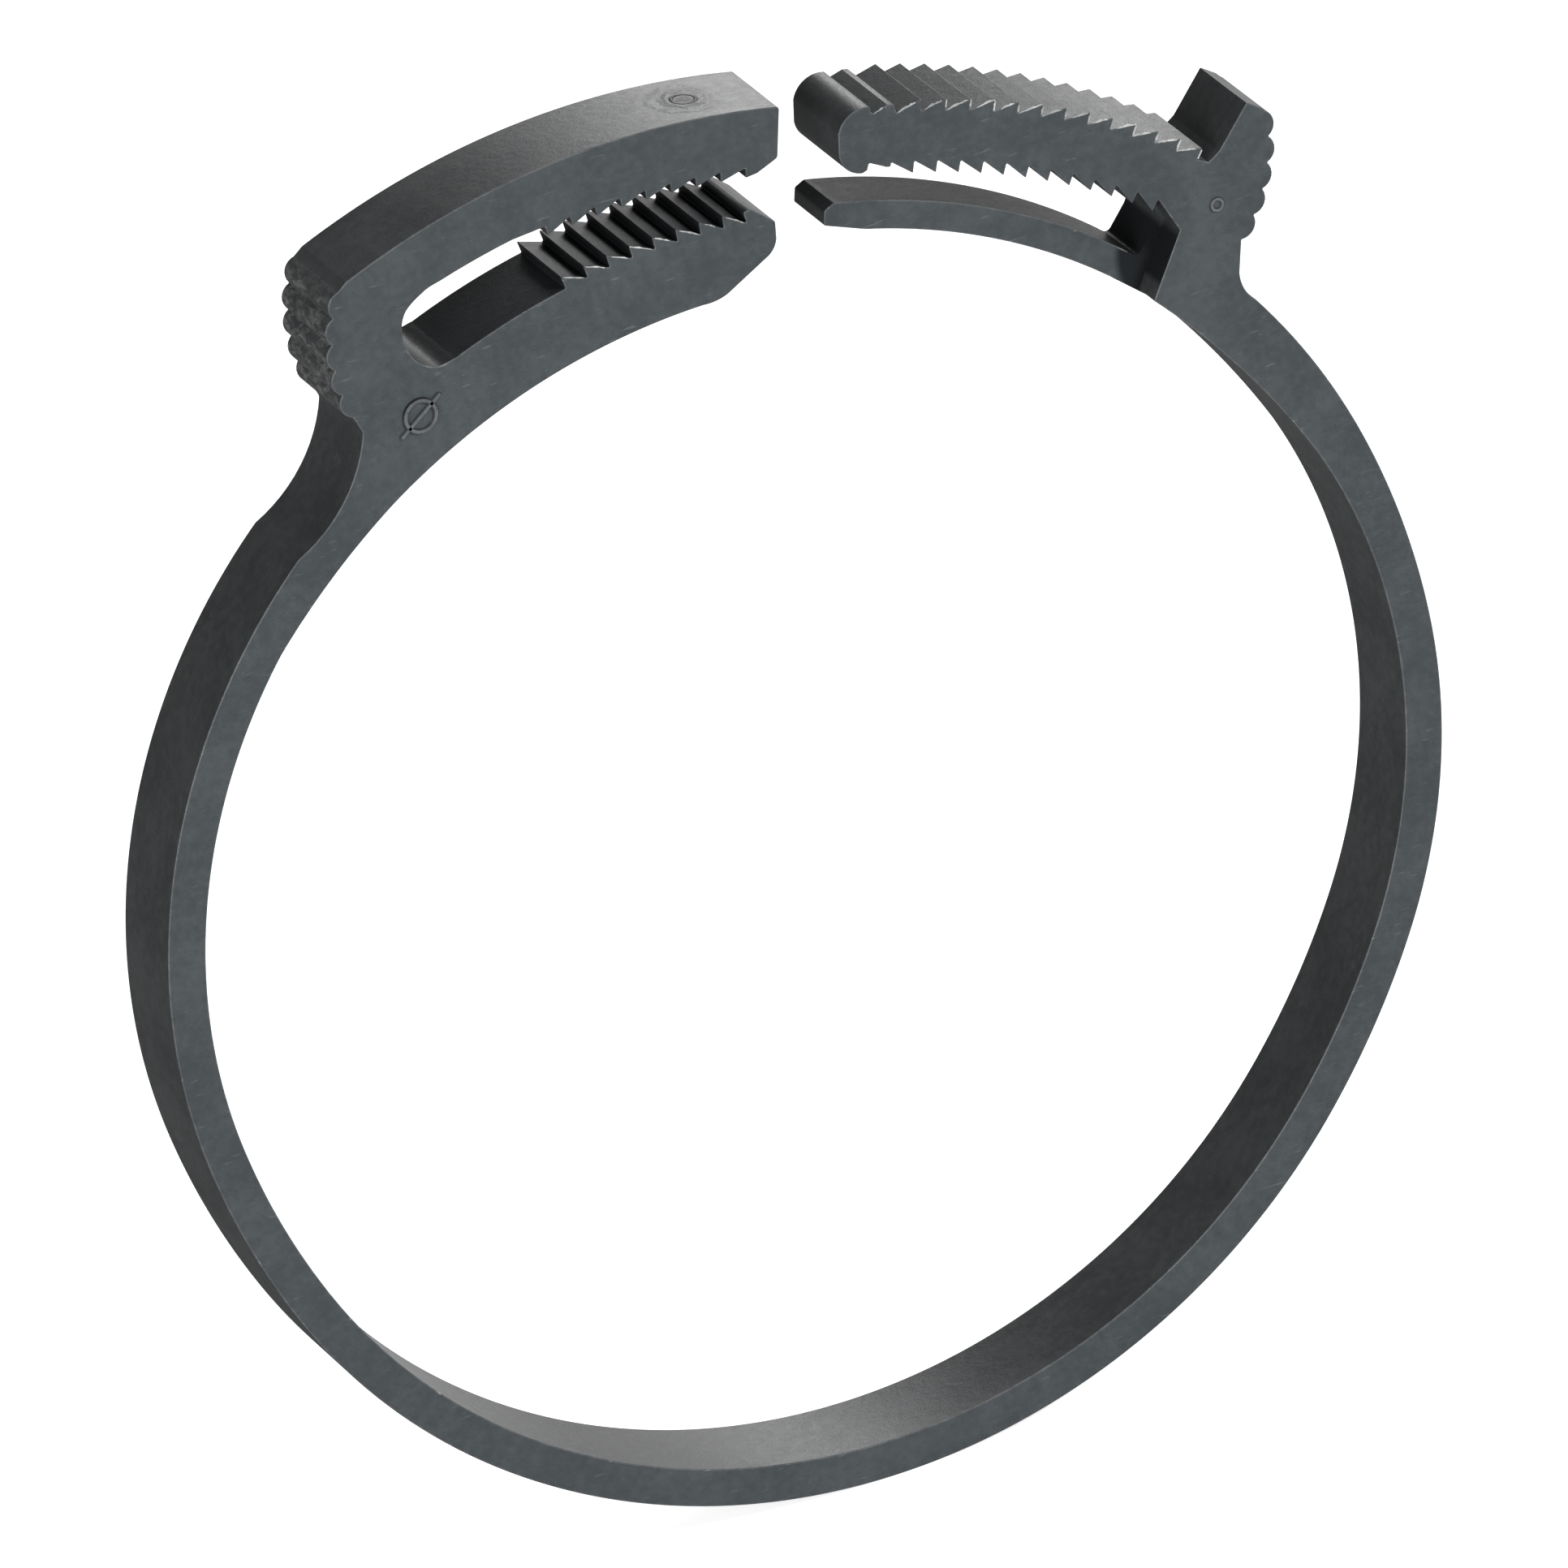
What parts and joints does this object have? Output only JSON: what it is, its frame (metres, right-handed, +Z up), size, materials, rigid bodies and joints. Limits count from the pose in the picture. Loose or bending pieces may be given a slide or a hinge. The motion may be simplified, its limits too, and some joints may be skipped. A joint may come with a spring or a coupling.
{
  "type": "hose clamp",
  "caption": "Plastic double-grip hose clamp: a flexible open band whose toothed tongue ratchets into a two-pronged socket, with finger-grip ribs and a guard tail.",
  "frame": {"origin": "on the axis of the round hose seat, half way through the width", "axes": "+Y along the hose axis towards the back face, +Z up, the jaws at the top with the socket on -X and the plug on +X"},
  "size_m": [0.0967, 0.0076, 0.1054],
  "materials": {
    "nylon": "satin, glass-filled nylon, slate grey-black"
  },
  "bodies": {
    "band_bottom": {"band_bottom_left": "nylon"},
    "band_bottom_right": {"band_bottom_right": "nylon"},
    "band_left_1": {"band_left_1": "nylon"},
    "band_right_1": {"band_right_1": "nylon"},
    "band_left_2": {"band_left_2": "nylon"},
    "band_right_2": {"band_right_2": "nylon"},
    "band_left_3": {"band_left_3": "nylon"},
    "band_right_3": {"band_right_3": "nylon"},
    "band_left_4": {"band_left_4": "nylon"},
    "band_right_4": {"band_right_4": "nylon"},
    "socket_head": {"socket_head": "nylon", "lower_prong": "nylon", "lower_teeth": "nylon"},
    "upper_prong": {"upper_prong": "nylon", "upper_teeth": "nylon"},
    "plug_head": {"plug_head": "nylon", "tongue": "nylon"},
    "guard_tail": {"guard_tail": "nylon"}
  },
  "joints": [
    {"name": "sideways_release", "type": "hinge", "parent": "band_bottom", "child": "band_bottom_right", "pos_m": [-0.00596, 0, -0.04527], "axis": [-0.9914, 0, 0.1305], "range_deg": [0, 5.5], "stiffness_Nm_per_rad": 1.5},
    {"name": "close", "type": "hinge", "parent": "band_bottom_right", "child": "band_right_1", "pos_m": [0.006, 0, -0.04527], "axis": [0, -1, 0], "range_deg": [-1.5, 3.45], "stiffness_Nm_per_rad": 1, "deforming": ["upper_prong", "upper_teeth", "lower_teeth"]},
    {"name": "bend_right_2", "type": "hinge", "parent": "band_right_1", "child": "band_right_2", "pos_m": [0.0279, 0, -0.0362], "axis": [0, -1, 0], "range_deg": [-1.63, 3.75]},
    {"name": "bend_right_3", "type": "hinge", "parent": "band_right_2", "child": "band_right_3", "pos_m": [0.0439, 0, -0.01517], "axis": [0, -1, 0], "range_deg": [-1.66, 3.83]},
    {"name": "bend_right_4", "type": "hinge", "parent": "band_right_3", "child": "band_right_4", "pos_m": [0.0471, 0, 0.00395], "axis": [0, -1, 0], "range_deg": [-1.47, 3.38]},
    {"name": "bend_right_5", "type": "hinge", "parent": "band_right_4", "child": "plug_head", "pos_m": [0.0433, 0, 0.0192], "axis": [0, -1, 0], "range_deg": [-1.09, 2.5]},
    {"name": "bend_left_1", "type": "hinge", "parent": "band_bottom", "child": "band_left_1", "pos_m": [-0.01751, 0, -0.04217], "axis": [0, 1, 0], "range_deg": [-1.41, 3.25]},
    {"name": "bend_left_2", "type": "hinge", "parent": "band_left_1", "child": "band_left_2", "pos_m": [-0.03632, 0, -0.02774], "axis": [0, 1, 0], "range_deg": [-1.4, 3.21]},
    {"name": "bend_left_3", "type": "hinge", "parent": "band_left_2", "child": "band_left_3", "pos_m": [-0.04633, 0, -0.00329], "axis": [0, 1, 0], "range_deg": [-1.36, 3.13]},
    {"name": "bend_left_4", "type": "hinge", "parent": "band_left_3", "child": "band_left_4", "pos_m": [-0.04448, 0, 0.01601], "axis": [0, 1, 0], "range_deg": [-1.21, 2.78]},
    {"name": "bend_left_5", "type": "hinge", "parent": "band_left_4", "child": "socket_head", "pos_m": [-0.03686, 0, 0.02975], "axis": [0, 1, 0], "range_deg": [-0.93, 2.13]},
    {"name": "prong_spread", "type": "hinge", "parent": "socket_head", "child": "upper_prong", "pos_m": [-0.02018, 0, 0.05442], "axis": [0, -1, 0], "range_deg": [-2.07, 4.76]},
    {"name": "guard_flex", "type": "hinge", "parent": "plug_head", "child": "guard_tail", "pos_m": [0.03149, 0, 0.03518], "axis": [0, -1, 0], "range_deg": [0, 5], "stiffness_Nm_per_rad": 0.3}
  ],
  "couplings": [
    {"joint": "bend_right_2", "follows": "close", "ratio": 1.086},
    {"joint": "bend_right_3", "follows": "close", "ratio": 1.109},
    {"joint": "bend_right_4", "follows": "close", "ratio": 0.979},
    {"joint": "bend_right_5", "follows": "close", "ratio": 0.726},
    {"joint": "bend_left_1", "follows": "close", "ratio": 0.943},
    {"joint": "bend_left_2", "follows": "close", "ratio": 0.931},
    {"joint": "bend_left_3", "follows": "close", "ratio": 0.906},
    {"joint": "bend_left_4", "follows": "close", "ratio": 0.806},
    {"joint": "bend_left_5", "follows": "close", "ratio": 0.617},
    {"joint": "prong_spread", "follows": "close", "ratio": 1.38}
  ]
}
